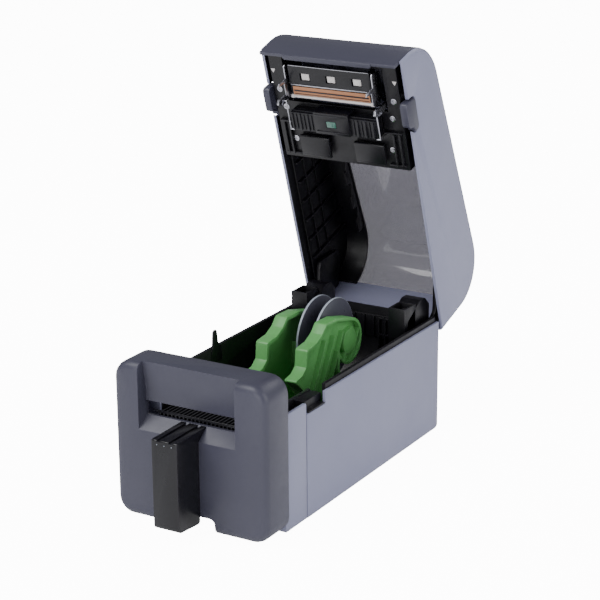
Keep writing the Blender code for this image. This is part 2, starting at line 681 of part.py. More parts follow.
def roll_guides():
    """Two green guides that a pinion under the tub keeps centred, each with a spinning disc."""
    ring = [
        (roll_y + 16.5 * mm * math.cos(turn), roll_height + 16.5 * mm * math.sin(turn))
        for turn in (math.radians(angle) for angle in range(-150, 76, 15))
    ]
    outline = [
        (roll_y - 75 * mm, 73.6 * mm, 1 * mm), (roll_y - 66 * mm, 66 * mm, 4 * mm),
        (roll_y - 30 * mm, tub_floor + 2.4 * mm, 22 * mm), (roll_y + 9 * mm, tub_floor + 2.4 * mm, 12 * mm),
        (roll_y - 10 * mm, 56 * mm, 8 * mm), (roll_y - 15 * mm, 64 * mm, 3 * mm), *ring,
        (roll_y - 17 * mm, 101.8 * mm, 4 * mm), (roll_y - 33 * mm, 102.3 * mm, 2 * mm),
        (roll_y - 39 * mm, 96.4 * mm, 3 * mm), (roll_y - 47 * mm, 92.6 * mm, 5 * mm),
        (roll_y - 59 * mm, 91.4 * mm, 2 * mm), (roll_y - 60.3 * mm, 79.4 * mm, 0.8 * mm),
        (roll_y - 65.5 * mm, 75.4 * mm),
    ]
    for side, label, dished, rim in ((-1, "left", 6.2 * mm, 2.6 * mm), (1, "right", 3.2 * mm, 2 * mm)):
        axis = joint_empty(f"{label}_guide_axis", (side * foot_x, roll_y, roll_height))

        def span(near, far):
            return sorted((side * near, side * far))

        hoop = prism(f"{label}_guide", rounded(outline), "X", *span(guide_x, guide_x + 9 * mm))
        floor = guide_x + dished + 1.6 * mm
        cuts = [
            prism("dish", rounded(grown(outline, -rim)), "X", *span(guide_x - mm, guide_x + dished)),
            prism("back", rounded(grown(outline, -2.1 * mm)), "X", *span(floor, guide_x + 12 * mm)),
        ]
        low, high = span(floor - 0.6 * mm, guide_x + 8.6 * mm)
        added = []
        for number in range(5):
            y = roll_y - 60 * mm + number * 12 * mm
            rib = prism(f"{label}_guide_rib_{number}", [
                (y, 40 * mm), (y + 1.3 * mm, 40 * mm), (y + 28.3 * mm, 90 * mm), (y + 27 * mm, 90 * mm)
            ], "X", low, high)
            inside = prism("inside", rounded(grown(outline, -mm)), "X", *span(guide_x, guide_x + 9 * mm))
            boolean(rib, inside, "INTERSECT", axis, number)
            added.append(rib)
        x0, x1 = span(disc_offset + 0.4 * mm, floor - 0.4 * mm)
        added.append(rod("pin", "X", (x0, roll_y, roll_height), 3 * mm, x1 - x0, 16))
        added.append(rod("hub", "X", (low, roll_y, roll_height), 9 * mm, high - low, 24))
        x0, x1 = span(foot_x, foot_x + 3 * mm)
        y = rack_y(side)
        added.append(box("web", (x0, y - 1.7 * mm, rack_low), (x1, y + 1.7 * mm, tub_floor + 8 * mm)))
        x0, x1 = rack_span(side)
        added.append(box("rack", (x0, y - 1.7 * mm, rack_low), (x1, y + 1.7 * mm, rack_low + rack_width)))
        added.extend(rack_teeth(side))
        guide = piece(hoop, guide_green, axis)
        for number, other in enumerate(cuts):
            boolean(guide, other, "DIFFERENCE", axis, number)
        for number, other in enumerate(added, len(cuts)):
            boolean(guide, other, "UNION", axis, number)

        spin = joint_empty(f"{label}_disc_axis", (side * disc_offset, roll_y, roll_height), axis)
        x0, x1 = span(disc_offset, disc_offset + disc_thickness)
        plate = rod(f"{label}_disc", "X", (x0, roll_y, roll_height), disc_radius, x1 - x0, 48)
        x0, x1 = span(disc_offset + 0.5 * mm, guide_x + 2.6 * mm)
        hub = rod("hub", "X", (x0, roll_y, roll_height), 8 * mm, x1 - x0, 24)
        bore = rod("bore", "X", (-40 * mm, roll_y, roll_height), 3 * mm + gap, 80 * mm, 16)
        piece(plate, disc_grey, spin, add=[hub], cut=[bore])


def boolean(target, other, operation, parent, number):
    """One more Boolean on a piece, with its other solid kept among the cutters."""
    other.name = f"{target.name}_{operation.lower()}_{number}"
    settle(other, parent, cutters)
    other.hide_render = True
    other.display_type = "WIRE"
    modifier = target.modifiers.new(f"{operation.lower()}_{number}", "BOOLEAN")
    modifier.operation = operation
    modifier.solver = "EXACT"
    modifier.object = other


def rack_span(side):
    """Each rack reaches across the pinion, so that it still meshes when the guide is far out."""
    return sorted((side * (foot_x + 3 * mm), -side * (guide_travel + 5 * mm)))


def rack_teeth(side):
    low, high = rack_span(side)
    toward = 1 if side > 0 else -1
    face = rack_y(side) + toward * 1.7 * mm
    teeth = []
    pitch = math.pi * mm
    first = math.ceil((low + mm) / pitch)
    last = math.floor((high - mm) / pitch)
    for number in range(first, last + 1):
        x = (number + 0.5) * pitch
        if not low + mm < x < high - mm:
            continue
        y0, y1 = sorted((face - toward * 0.5 * mm, face + toward * rack_tooth_height * 0.85))
        teeth.append(box("tooth", (x - 0.45 * mm, y0, rack_low), (x + 0.45 * mm, y1, rack_low + rack_width)))
    return teeth


def guide_pinion():
    axis = joint_empty("guide_pinion_axis", (0, guide_pinion_y, rack_low))
    blank = prism(
        "guide_pinion", gear_points(12, mm, 0.75, (0, guide_pinion_y), math.tau / 4), "Z",
        rack_low + 0.2 * mm, rack_low + rack_width - 0.2 * mm,
    )
    bore = rod("bore", "Z", (0, guide_pinion_y, 0), 1.5 * mm + gap, 20 * mm, 16)
    piece(blank, gear_white, axis, cut=[bore])
    post_low = body_floor + wall + gap + 2.2 * mm + gap
    post_length = rack_low + rack_width - post_low
    post = rod("pinion_post", "Z", (0, guide_pinion_y, post_low), 1.5 * mm, post_length, 16)
    piece(post, bright_steel)


# ---- lid -------------------------------------------------------------------------------------
def lid_profile(low, inset=0.0):
    """The shut lid's side outline, from its rim at a height up over the sloping top."""
    corners = [
        (lid_front_y, low), (rear_y, low), (rear_y, lid_rear_height, lid_rear_radius),
        (lid_front_y, lid_front_height, lid_front_radius),
    ]
    return rounded(grown(corners, -inset), 10)


def lid_solid(name, low, inset, half):
    return prism(name, lid_profile(low, inset), "X", -half, half)


def lever_corners():
    """The release lever's outline: its lower half fits the notch of the side cover."""
    y = seam_y
    return [
        (y + 3.2 * mm, 75.2 * mm, 3 * mm), (y + 21.5 * mm, 75.2 * mm, 4 * mm),
        (y + 23.3 * mm, 81.4 * mm, 2 * mm), (y + 27.5 * mm, 82.6 * mm, 2 * mm),
        (y + 27.5 * mm, 88.6 * mm, 3.4 * mm), (y + 4.2 * mm, 88.6 * mm, 3 * mm),
    ]


def lid_shell(lid):
    outer = lid_solid("lid_shell", rim_z, 0, half_width)
    at_side = lambda a, b: (
        abs(a.x) > half_width - 0.1 * mm < abs(b.x) and abs(a.x - b.x) < mm
        and max(a.z, b.z) > rim_z + 0.1 * mm
    )
    round_edges(outer, at_side, lid_edge_radius, 3)
    front_hole = box(
        "hole", (-inner_x + 0.4 * mm, front_y - 9 * mm, 60 * mm),
        (inner_x - 0.4 * mm, panel_rear_y + gap, 160 * mm),
    )
    window_hole = box(
        "hole", (-window_half_width - gap, window_front_y - gap, window_rear_height - gap),
        (window_half_width + gap, rear_y + 9 * mm, 170 * mm),
    )
    lever_hole = prism("hole", rounded(grown(lever_corners(), 1.4 * mm)), "X", -outside_x, outside_x)
    low_hole = box(
        "hole", (-outside_x, seam_y + 3 * mm, 70 * mm), (outside_x, seam_y + 21.8 * mm, 84 * mm)
    )
    hollow = lid_solid("hollow", rim_z - 9 * mm, wall, inner_x)
    return piece(
        outer, shell_grey, lid, cut=[hollow, front_hole, window_hole, lever_hole, low_hole],
    )


def lid_front_panel(lid):
    half = inner_x - 0.4 * mm - gap
    skin = lid_solid("lid_front_panel", lip_height, 0, half)
    behind = box(
        "hole", (-outside_x, panel_rear_y, 60 * mm), (outside_x, rear_y + 9 * mm, 170 * mm)
    )
    cuts = [lid_solid("hollow", lip_height - 9 * mm, wall, outside_x), behind]
    for x, radius in ((power_x, button_radius), (feed_x, button_radius)):
        cuts.append(tilted_rod("hole", x, radius + gap, -8 * mm, 8 * mm))
    cuts.append(tilted_box("hole", lens_x, 6 * mm + gap, 1.5 * mm + gap, -8 * mm, 8 * mm))
    return piece(skin, panel_grey, lid, cut=cuts)


def top_place(x):
    """The matrix that puts a shape on the lid's sloping top at the button row."""
    slope = math.atan2(lid_rear_height - lid_front_height, rear_y - lid_front_y)
    z = lid_front_height + math.tan(slope) * (button_y - lid_front_y)
    return Matrix.Translation((x, button_y, z)) @ Matrix.Rotation(slope, 4, "X")


def tilted_rod(name, x, radius, low, high, sides=24):
    shape = bmesh.new()
    place = top_place(x) @ Matrix.Translation((0, 0, (low + high) / 2))
    bmesh.ops.create_cone(
        shape, cap_ends=True, segments=sides, radius1=radius, radius2=radius, depth=high - low, matrix=place
    )
    return object_from(name, shape)


def tilted_box(name, x, half_x, half_y, low, high):
    shape = bmesh.new()
    size = Matrix.Diagonal((2 * half_x, 2 * half_y, high - low, 1))
    place = top_place(x) @ Matrix.Translation((0, 0, (low + high) / 2)) @ size
    bmesh.ops.create_cube(shape, size=1, matrix=place)
    return object_from(name, shape)


def buttons(lid):
    for name, x in (("power_button", power_x), ("feed_button", feed_x)):
        axis = joint_empty(f"{name}_axis", top_place(x).translation, lid)
        cap = tilted_rod(name, x, button_radius, -4 * mm, 0.9 * mm)
        flange = tilted_rod("flange", x, button_radius + 1.2 * mm, -5.2 * mm, -wall - 1.2 * mm)
        piece(cap, button_grey, axis, add=[flange])
    piece(tilted_box("status_lens", lens_x, 6 * mm, 1.5 * mm, -3 * mm, 0.1 * mm), lens_clear, lid)


def lid_window(lid):
    pane = lid_solid("lid_window", rim_z, 0, window_half_width)
    keep = box(
        "keep", (-outside_x, window_front_y, window_rear_height), (outside_x, rear_y + 9 * mm, 170 * mm)
    )
    piece(pane, window_smoke, lid, keep=[keep], cut=[
        lid_solid("hollow", rim_z - 9 * mm, wall, outside_x)
    ])


def lid_liner(lid):
    """The black inner frame of the lid, open at the window and at the rear wall."""
    low = 86 * mm
    skin = wall + gap
    solid = lid_solid("lid_liner", low, skin, inner_x - gap)
    hollow = lid_solid("hollow", low - 9 * mm, skin + 1.6 * mm, inner_x - gap - 1.6 * mm)
    opening = box(
        "hole", (-window_half_width + 1.5 * mm, window_front_y + 1.5 * mm, 60 * mm),
        (window_half_width - 1.5 * mm, rear_y + 9 * mm, 170 * mm),
    )
    ahead = box(
        "hole", (-outside_x, front_y - 9 * mm, 60 * mm), (outside_x, window_front_y - 8 * mm, 170 * mm)
    )
    room_x = inner_x - 2.4 * mm
    hinge_room = box(
        "hole", (-room_x, hinge_y - 15 * mm, 60 * mm), (room_x, rear_y + 9 * mm, 115 * mm)
    )
    return piece(solid, mechanism_black, lid, cut=[hollow, opening, ahead, hinge_room])


def lid_arms(lid):
    """The two arms that reach down from the lid to the hinge pins."""
    outline = [
        (hinge_y - 4.2 * mm, hinge_z - 4.2 * mm, 3.6 * mm), (hinge_y + 2.4 * mm, hinge_z - 4.2 * mm, 2 * mm),
        (hinge_y + 2.4 * mm, 112 * mm, 4 * mm), (hinge_y - 24 * mm, 120 * mm, 4 * mm),
        (hinge_y - 30 * mm, 92 * mm, 6 * mm), (hinge_y - 8 * mm, 84.5 * mm, 6 * mm),
    ]
    for side, label in ((-1, "left"), (1, "right")):
        low, high = sorted((side * arm_x, side * (tub_inside_x - 0.4 * mm)))
        bore = rod("bore", "X", (low - mm, hinge_y, hinge_z), pin_radius + gap, high - low + 2 * mm)
        arm = prism(f"lid_arm_{label}", rounded(outline), "X", low, high)
        piece(arm, mechanism_black, lid, cut=[bore])


def head_carrier(lid):
    """The black plate across the lid that carries the print head, sensor and latch."""
    half = tub_inside_x - 0.6 * mm
    front = lid_front_y + wall + 0.8 * mm
    low, high = 80 * mm, 96 * mm
    tray = box("head_carrier", (-half, front, low), (half, carrier_rear_y, high))
    hollow = box(
        "hollow", (-half + 2 * mm, front + 2 * mm, low + 2.6 * mm),
        (half - 2 * mm, carrier_rear_y - 2 * mm, high + mm),
    )
    well = box("well", (-38.8 * mm, front + 3 * mm, low - mm), (38.8 * mm, seam_y + 13 * mm, high))
    shaft = rod("bore", "X", (-outside_x, latch_y, latch_z), 2 * mm + gap, 2 * outside_x, 16)
    pivot = rod("bore", "X", (-outside_x, head_pivot_y, head_pivot_z), 1.5 * mm + gap, 2 * outside_x, 16)
    return piece(tray, mechanism_black, lid, cut=[hollow, well, shaft, pivot])


def print_head(lid):
    """The floating head: a bracket with three windows, the ceramic strip and its heat sink."""
    axis = joint_empty("print_head_axis", (0, head_pivot_y, head_pivot_z), lid)
    half = 30 * mm
    front, rear = platen_y - 17 * mm, platen_y - 1.5 * mm
    low = 74.8 * mm
    bracket = box("head_bracket", (-half, front, low), (half, rear, low + 2 * mm))
    cheeks = []
    for side in (-1, 1):
        x0, x1 = sorted((side * (half - 0.1 * mm), side * (half + 1.6 * mm)))
        cheeks.append(prism("cheek", rounded([
            (front, low, mm), (rear + 9 * mm, low, 2 * mm),
            (head_pivot_y + 3 * mm, head_pivot_z - 3 * mm, 2 * mm),
            (head_pivot_y + 3 * mm, head_pivot_z + 3 * mm, 2 * mm),
            (head_pivot_y - 3 * mm, head_pivot_z + 3 * mm, 2 * mm), (front, low + 8 * mm, 2 * mm),
        ]), "X", x0, x1))
        x0, x1 = sorted((side * half, side * (inner_x - 2.4 * mm)))
        cheeks.append(rod("pivot", "X", (x0, head_pivot_y, head_pivot_z), 1.5 * mm, x1 - x0, 16))
    windows = [
        box(
            "window", (x * mm - 4 * mm, front + 5.5 * mm, low - mm),
            (x * mm + 4 * mm, front + 11 * mm, low + 3 * mm),
        )
        for x in (-19, 1, 21)
    ]
    piece(bracket, mechanism_black, axis, add=cheeks, cut=windows)
    strip = box(
        "thermal_head", (-half + gap, rear + gap, 74.3 * mm), (half - gap, rear + 6.5 * mm, 76 * mm)
    )
    piece(strip, head_ceramic, axis)
    sink = box(
        "heat_sink", (-half + gap, rear + gap, 76.3 * mm), (half - gap, rear + 8 * mm, 83 * mm)
    )
    fins = [
        box("slot", (x * mm - 0.8 * mm, rear, 78.6 * mm), (x * mm + 0.8 * mm, rear + 9 * mm, 84 * mm))
        for x in range(-24, 25, 6)
    ]
    piece(sink, bright_steel, axis, cut=fins)


def media_sensor(lid):
    """The ribbed black block behind the head, with the sensor window in its raised middle."""
    low_y, high_y = seam_y + 16.4 * mm, seam_y + 30 * mm
    bar = box("media_sensor", (-33.5 * mm, low_y, 71 * mm), (33.5 * mm, high_y, 79.7 * mm))
    middle = box("middle", (-14 * mm, low_y - 3 * mm, 69 * mm), (13 * mm, high_y - 0.4 * mm, 79.4 * mm))
    ribs = [
        box(
            "rib", (x * mm - 0.6 * mm, low_y + 0.6 * mm, 70 * mm),
            (x * mm + 0.6 * mm, high_y - 0.6 * mm, 73 * mm),
        )
        for x in (-32, -26, -20, 19, 25, 31)
    ]
    eye = box("eye", (-5 * mm, low_y + 3 * mm, 68 * mm), (3 * mm, low_y + 8 * mm, 70.2 * mm))
    piece(bar, mechanism_black, lid, add=[middle, *ribs], cut=[eye])


def paper_flaps(lid):
    """Two small sprung flaps that keep the paper flat as it leaves the roll."""
    for side, label in ((-1, "left"), (1, "right")):
        axis = joint_empty(f"paper_flap_{label}_axis", (0, flap_y, flap_z), lid)
        low, high = sorted((side * 10 * mm, side * 33 * mm))
        leaf = prism(f"paper_flap_{label}", rounded([
            (flap_y - 1.8 * mm, flap_z - 1.8 * mm, 1.2 * mm), (flap_y + 14 * mm, flap_z - 1.9 * mm, 0.8 * mm),
            (flap_y + 14 * mm, flap_z, 0.8 * mm), (flap_y - 1.8 * mm, flap_z + 1.6 * mm, 1.2 * mm),
        ], 30), "X", low, high)
        piece(leaf, mechanism_black, axis)


def latch(lid):
    """The release levers, their cross shaft and the two steel hooks, which turn as one."""
    axis = joint_empty("latch_axis", (0, latch_y, latch_z), lid)
    half = inner_x + 0.6 * mm
    piece(rod("latch_shaft", "X", (-half, latch_y, latch_z), 2 * mm, 2 * half, 16), bright_steel, axis)
    nose = platen_y + bearing_radius + 0.5 * mm
    hook = rounded([
        (latch_y + 4 * mm, latch_z - 3.2 * mm, 2 * mm), (latch_y + 4 * mm, latch_z + 4 * mm, 3 * mm),
        (nose + mm, latch_z + 4 * mm, 3 * mm), (nose + mm, 69 * mm), (nose, 68 * mm), (nose, 65 * mm),
        (nose + 3 * mm, 63.5 * mm, mm), (nose + 5.5 * mm, 67 * mm, mm),
        (nose + 5.5 * mm, latch_z - 3.2 * mm, 2 * mm),
    ][::-1])
    for side, label in ((-1, "left"), (1, "right")):
        low, high = sorted((side * 36.6 * mm, side * 38.2 * mm))
        bore = rod("bore", "X", (-outside_x, latch_y, latch_z), 2 * mm + gap, 2 * outside_x, 16)
        piece(prism(f"latch_hook_{label}", hook, "X", low, high), bright_steel, axis, cut=[bore])
        low, high = sorted((side * (inner_x - 2.0 * mm), side * (half_width + 1.2 * mm)))
        lever = prism(f"release_lever_{label}", rounded(lever_corners()), "X", low, high)
        socket = rod(
            "socket", "X", (-half - gap, latch_y, latch_z), 2 * mm + gap, 2 * (half + gap), 16
        )
        piece(lever, panel_grey, axis, cut=[socket])


# ---- places inside, which follow from the pieces round them ----------------------------------
foot_places = [(x * mm, y) for x in (-38, 38) for y in (front_y + 24 * mm, rear_y - 22 * mm)]
jack_x, jack_z, jack_radius = -28 * mm, 17 * mm, 5 * mm
port_x, port_half, port_low, port_height = 20 * mm, 6.2 * mm, 9.2 * mm, 11 * mm
tower_x, tower_low_y, tower_low = 31 * mm, hinge_y - 30 * mm, 64 * mm
pin_radius = 2.5 * mm
arm_x = tub_inside_x - 3.4 * mm
bearing_radius = 5.2 * mm
idler_y = platen_y + 24 * mm * math.sin(math.radians(15))
idler_z = platen_height - 24 * mm * math.cos(math.radians(15))
pinion_y = idler_y - 20 * mm * math.sin(math.radians(30))
pinion_z = idler_z - 20 * mm * math.cos(math.radians(30))


def meshed(centre, other, teeth, other_teeth, other_phase):
    """The phase that puts this gear's gap where the other gear has a tooth, on the centre line."""
    angle = math.atan2(other[1] - centre[1], other[0] - centre[0])
    facing = angle + math.pi
    offset = ((facing - other_phase) * other_teeth / math.tau) % 1.0
    return angle - math.tau * (0.5 - offset) / teeth


idler_phase = meshed((idler_y, idler_z), (platen_y, platen_height), 28, 20, 0.0)
pinion_phase = meshed((pinion_y, pinion_z), (idler_y, idler_z), 12, 28, idler_phase)
pinch_radius = 4 * mm
pinch_angle = math.radians(215)
pinch_y = platen_y + (platen_radius + pinch_radius + 0.4 * mm) * math.cos(pinch_angle)
pinch_z = platen_height + (platen_radius + pinch_radius + 0.4 * mm) * math.sin(pinch_angle)
arm_pivot_y, arm_pivot_z = platen_y - 15 * mm, 42 * mm
guide_x = 11 * mm
foot_x = guide_x + 1 * mm
guide_pinion_y = roll_y - 8 * mm
guide_pinion_radius = 6 * mm
rack_low, rack_width = 8.4 * mm, 3.6 * mm
block_middle_x = recess_middle_x
panel_rear_y = lid_front_y + front_panel_length
window_front_y = lid_front_y + 85.5 * mm
button_y = panel_rear_y - 11 * mm
power_x, feed_x, lens_x = -20 * mm, 20 * mm, 0.0
carrier_rear_y = seam_y + 57.5 * mm
latch_y, latch_z = seam_y + 17 * mm, 86.2 * mm
head_pivot_y, head_pivot_z = platen_y + 12 * mm, 92.6 * mm
flap_y, flap_z = seam_y + 39.5 * mm, 78.0 * mm

# ---- assembly --------------------------------------------------------------------------------
side_cover()
front_cover()
base_plate()
feet()
roll_tub()
rear_grille()
hinge_towers()
power_inlet()
mechanism_frame()
peel_bar()
drive_train()
peeler_cover()
sensor_block()
outlet_guide()
peeler_arm()
roll_guides()
guide_pinion()

lid_empty = joint_empty("lid_hinge_axis", (0, hinge_y, hinge_z))
lid_shell(lid_empty)
lid_front_panel(lid_empty)
buttons(lid_empty)
lid_window(lid_empty)
lid_liner(lid_empty)
lid_arms(lid_empty)
head_carrier(lid_empty)
print_head(lid_empty)
media_sensor(lid_empty)
paper_flaps(lid_empty)
latch(lid_empty)
lid_empty.rotation_euler.x = -math.radians(lid_open_angle)
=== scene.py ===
# %% [markdown]
# # A desktop label printer, lid open
# The frame comes first: every solid of the machine is loaded where it belongs, in metres, with
# X to the right, Y to the back and Z up. Nothing of it is moved. What follows gives each solid
# its real surface, swaps the plain ones for softened copies, and adds the small parts that only
# matter to the eye.

# %% Load the frame
import json
import math

import bpy
from mathutils import Matrix, Vector

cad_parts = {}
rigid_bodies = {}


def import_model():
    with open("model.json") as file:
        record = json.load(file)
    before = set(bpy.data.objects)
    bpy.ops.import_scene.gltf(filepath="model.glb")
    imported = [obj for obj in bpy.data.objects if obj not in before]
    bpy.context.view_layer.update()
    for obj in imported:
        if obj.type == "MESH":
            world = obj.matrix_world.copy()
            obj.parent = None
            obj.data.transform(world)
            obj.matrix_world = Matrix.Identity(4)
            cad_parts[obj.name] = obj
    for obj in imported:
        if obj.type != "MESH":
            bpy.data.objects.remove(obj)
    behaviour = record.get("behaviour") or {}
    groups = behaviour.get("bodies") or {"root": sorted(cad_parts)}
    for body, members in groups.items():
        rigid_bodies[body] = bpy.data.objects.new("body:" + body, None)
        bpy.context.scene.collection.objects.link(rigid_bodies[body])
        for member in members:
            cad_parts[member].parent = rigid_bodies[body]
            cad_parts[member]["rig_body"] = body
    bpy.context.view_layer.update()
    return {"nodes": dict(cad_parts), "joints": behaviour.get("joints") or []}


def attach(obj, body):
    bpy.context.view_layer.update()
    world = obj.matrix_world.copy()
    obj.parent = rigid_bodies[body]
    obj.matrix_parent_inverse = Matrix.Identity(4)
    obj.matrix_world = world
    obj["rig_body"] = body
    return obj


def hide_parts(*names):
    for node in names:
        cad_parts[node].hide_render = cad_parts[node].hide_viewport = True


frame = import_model()
mm = 0.001
lid_joint = next(joint for joint in frame["joints"] if joint["name"] == "lid_hinge")
hinge = Vector(lid_joint["pos_m"])
open_angle = math.radians(lid_joint["range_deg"][1])
lid_open = (
    Matrix.Translation(hinge) @ Matrix.Rotation(-open_angle, 4, "X") @ Matrix.Translation(-hinge)
)
print("nodes:", len(frame["nodes"]), "hinge at", tuple(round(v, 4) for v in hinge))

# %% [markdown]
# ## Camera, floor and light
# The machine is looked down on from its right front corner with a long lens, so that upright
# edges stay nearly parallel. It stands on a plain white table under a large soft light from the
# upper left, with a weaker one from the right to open up the shaded long side.

# %% Camera
def look(azimuth, elevation, roll, place, lens):
    """A camera turned by its angles in degrees."""
    az, el, ro = (math.radians(angle) for angle in (azimuth, elevation, roll))
    ahead = Vector((-math.sin(az) * math.cos(el), math.cos(az) * math.cos(el), -math.sin(el)))
    right = ahead.cross(Vector((0, 0, 1))).normalized()
    up = right.cross(ahead)
    side = right * math.cos(ro) + up * math.sin(ro)
    top = up * math.cos(ro) - right * math.sin(ro)
    camera = bpy.data.objects.new("camera", bpy.data.cameras.new("camera"))
    bpy.context.scene.collection.objects.link(camera)
    camera.matrix_world = Matrix((side, top, -ahead)).transposed().to_4x4()
    camera.matrix_world.translation = place
    camera.data.sensor_width = 36
    camera.data.lens = lens
    camera.data.clip_end = 40
    bpy.context.scene.camera = camera
    return camera


look(
    azimuth=30.69, elevation=17.86, roll=-0.44, place=Vector((0.65397, -1.10108, 0.52951)),
    lens=119.08,
)
print("camera set")


# %% Floor
# The table comes out white because it glows for the camera. It lights the machine far less.
glow_to_camera = 12.0
glow_to_machine = 0.35


def linear(value):
    return value / 12.92 if value <= 0.04045 else ((value + 0.055) / 1.055) ** 2.4


def screen(red, green, blue):
    """A linear colour from screen values of 0 to 255."""
    return (linear(red / 255), linear(green / 255), linear(blue / 255), 1.0)


def deselect():
    if bpy.context.mode != "OBJECT":
        bpy.ops.object.mode_set(mode="OBJECT")
    bpy.ops.object.select_all(action="DESELECT")


deselect()
bpy.ops.mesh.primitive_plane_add(size=24, location=(0, 0, 0))
floor = bpy.context.object
floor.name = "floor"
floor_paint = bpy.data.materials.new("white_table")
floor_paint.use_nodes = True
floor_shader = floor_paint.node_tree.nodes["Principled BSDF"]
floor_shader.inputs["Base Color"].default_value = (0.86, 0.86, 0.87, 1)
floor_shader.inputs["Roughness"].default_value = 0.9
floor_shader.inputs["Specular IOR Level"].default_value = 0.1
floor_shader.inputs["Emission Color"].default_value = (1, 1, 1, 1)
floor_tree = floor_paint.node_tree
rays = floor_tree.nodes.new("ShaderNodeLightPath")
direct = floor_tree.nodes.new("ShaderNodeMath")
direct.operation = "SUBTRACT"
direct.use_clamp = True
floor_tree.links.new(rays.outputs["Is Camera Ray"], direct.inputs[0])
floor_tree.links.new(rays.outputs["Transparent Depth"], direct.inputs[1])
glow = floor_tree.nodes.new("ShaderNodeMath")
glow.operation = "MULTIPLY_ADD"
floor_tree.links.new(direct.outputs[0], glow.inputs[0])
glow.inputs[1].default_value = glow_to_camera
glow.inputs[2].default_value = glow_to_machine
floor_tree.links.new(glow.outputs[0], floor_shader.inputs["Emission Strength"])
floor.data.materials.append(floor_paint)
print("floor laid")


# %% Lights
def soft_light(name, place, aim, size, power, tint=(1, 1, 1)):
    data = bpy.data.lights.new(name, "AREA")
    data.shape = "RECTANGLE"
    data.size, data.size_y = size
    data.energy = power
    data.color = tint
    lamp = bpy.data.objects.new(name, data)
    bpy.context.scene.collection.objects.link(lamp)
    lamp.location = place
    lamp.rotation_euler = (Vector(aim) - Vector(place)).to_track_quat("-Z", "Y").to_euler()
    return lamp


soft_light("key", (-0.7, -1.1, 1.7), (0, 0, 0.12), (1.3, 1.3), 30)
soft_light("side_fill", (1.7, 0.1, 0.9), (0, 0, 0.12), (1.2, 1.4), 13)
soft_light("front_fill", (0.2, -1.9, 0.45), (0, 0, 0.18), (1.2, 0.8), 9)
soft_light("back_rim", (0.3, 1.6, 1.3), (0, 0, 0.15), (1.6, 0.8), 10)
world = bpy.data.worlds.new("studio")
bpy.context.scene.world = world
world.use_nodes = True
world.node_tree.nodes["Background"].inputs["Color"].default_value = (0.90, 0.92, 1.0, 1)
world.node_tree.nodes["Background"].inputs["Strength"].default_value = 0.3

# %% [markdown]
# ## What moulded plastic looks like close up
# The covers come out of etched steel moulds, so they carry a fine even grain, and their tone and
# gloss drift a little over a hand's width. Corners that get handled are rubbed a little lighter.
# Several finishes share these effects, so each is a node group: one gives grain and drift, one
# finds the edges by comparing the surface's direction with a rounded version of itself.


# %% Node group: moulded grain
def new_group(name, inputs, outputs):
    group = bpy.data.node_groups.new(name, "ShaderNodeTree")
    for label, kind, value in inputs:
        socket = group.interface.new_socket(label, in_out="INPUT", socket_type=kind)
        if value is not None:
            socket.default_value = value
    for label, kind in outputs:
        group.interface.new_socket(label, in_out="OUTPUT", socket_type=kind)
    return group, group.nodes.new("NodeGroupInput"), group.nodes.new("NodeGroupOutput")


def math_node(tree, operation, first, second=None, clamp=False):
    node = tree.nodes.new("ShaderNodeMath")
    node.operation = operation
    node.use_clamp = clamp
    for index, value in enumerate((first, second)):
        if value is None:
            continue
        if isinstance(value, (int, float)):
            node.inputs[index].default_value = value
        else:
            tree.links.new(value, node.inputs[index])
    return node.outputs[0]


def noise_node(tree, vector, scale, detail=3.0, roughness=0.55):
    node = tree.nodes.new("ShaderNodeTexNoise")
    tree.links.new(vector, node.inputs["Vector"])
    if isinstance(scale, (int, float)):
        node.inputs["Scale"].default_value = scale
    else:
        tree.links.new(scale, node.inputs["Scale"])
    node.inputs["Detail"].default_value = detail
    node.inputs["Roughness"].default_value = roughness
    return node.outputs["Fac"]


grain, source, result = new_group(
    "moulded_grain",
    [("Vector", "NodeSocketVector", None), ("Grain Scale", "NodeSocketFloat", 2600.0),
     ("Drift Scale", "NodeSocketFloat", 14.0)],
    [("Height", "NodeSocketFloat"), ("Drift", "NodeSocketFloat"), ("Smudge", "NodeSocketFloat")],
)
fine = noise_node(grain, source.outputs["Vector"], source.outputs["Grain Scale"], 2.0)
drift = noise_node(grain, source.outputs["Vector"], source.outputs["Drift Scale"], 2.0)
smudge = noise_node(
    grain, source.outputs["Vector"],
    math_node(grain, "MULTIPLY", source.outputs["Drift Scale"], 4.5), 5.0, 0.65,
)
grain.links.new(fine, result.inputs["Height"])
grain.links.new(drift, result.inputs["Drift"])
grain.links.new(smudge, result.inputs["Smudge"])
print("group:", grain.name, len(grain.nodes), "nodes")

# %% Node group: rubbed edges
edges, source, result = new_group(
    "rubbed_edges",
    [("Vector", "NodeSocketVector", None), ("Width", "NodeSocketFloat", 0.0008),
     ("Breakup", "NodeSocketFloat", 180.0)],
    [("Mask", "NodeSocketFloat")],
)
rounded = edges.nodes.new("ShaderNodeBevel")
rounded.samples = 4
edges.links.new(source.outputs["Width"], rounded.inputs["Radius"])
facing = edges.nodes.new("ShaderNodeNewGeometry")
compare = edges.nodes.new("ShaderNodeVectorMath")
compare.operation = "DOT_PRODUCT"
edges.links.new(rounded.outputs["Normal"], compare.inputs[0])
edges.links.new(facing.outputs["Normal"], compare.inputs[1])
turned = math_node(edges, "SUBTRACT", 1.0, compare.outputs["Value"], clamp=True)
strength = math_node(edges, "MULTIPLY", turned, 4.0, clamp=True)
patches = noise_node(edges, source.outputs["Vector"], source.outputs["Breakup"], 4.0, 0.7)
patches = math_node(edges, "SUBTRACT", patches, 0.38, clamp=True)
patches = math_node(edges, "MULTIPLY", patches, 3.2, clamp=True)
edges.links.new(math_node(edges, "MULTIPLY", strength, patches), result.inputs["Mask"])
print("group:", edges.name, len(edges.nodes), "nodes")

